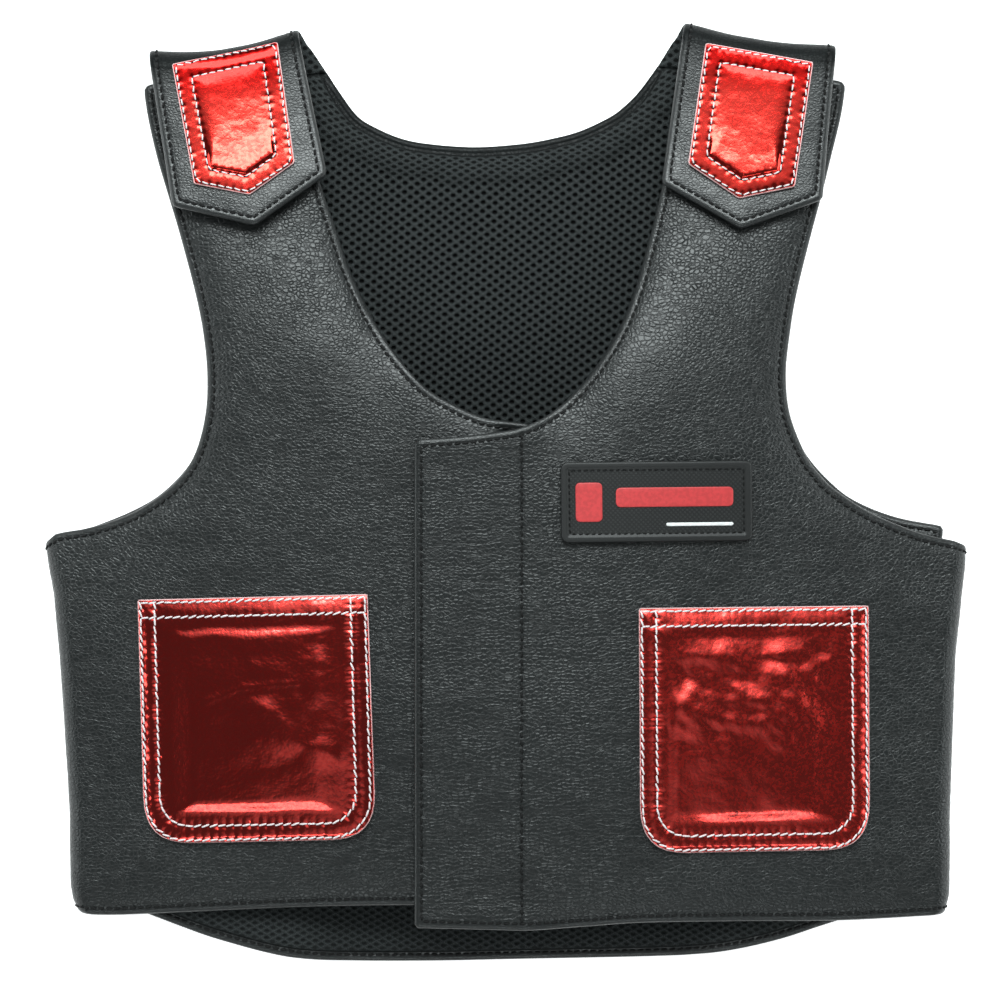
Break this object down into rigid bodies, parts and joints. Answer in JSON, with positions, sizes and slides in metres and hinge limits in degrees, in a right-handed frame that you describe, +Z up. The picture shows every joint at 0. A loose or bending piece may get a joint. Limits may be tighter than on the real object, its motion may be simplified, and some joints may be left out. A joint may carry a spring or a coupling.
{
  "type": "bull riding vest",
  "caption": "Padded riding vest lying flat: leather-look panels, mesh-lined back, overlapping front closure, side wings, folded shoulder straps, foil pockets and shoulder patches.",
  "frame": {"origin": "middle of the floor area that the lying vest covers", "axes": "+Z up from the floor out of the vest's front, +Y towards the neck, +X towards the wearer's left"},
  "size_m": [0.519, 0.5276, 0.0541],
  "materials": {
    "leather": "pebbled satin",
    "spacer_mesh": "matte open knit",
    "red_foil": "crinkled metallic foil",
    "label_rubber": "moulded satin",
    "hook_and_loop": "matte pile"
  },
  "bodies": {
    "root": {"back_panel": "leather", "back_lining": "spacer_mesh", "front_panel_right": "leather", "front_panel_left": "leather", "shoulder_strap_right": "leather", "shoulder_strap_left": "leather", "shoulder_patch_right": "red_foil", "shoulder_patch_left": "red_foil", "pocket_right": "red_foil", "pocket_left": "red_foil", "chest_label": "label_rubber", "front_closure": "hook_and_loop", "shoulder_closure_right": "hook_and_loop", "shoulder_closure_left": "hook_and_loop", "side_closure_right": "hook_and_loop", "side_closure_left": "hook_and_loop"}
  },
  "joints": []
}
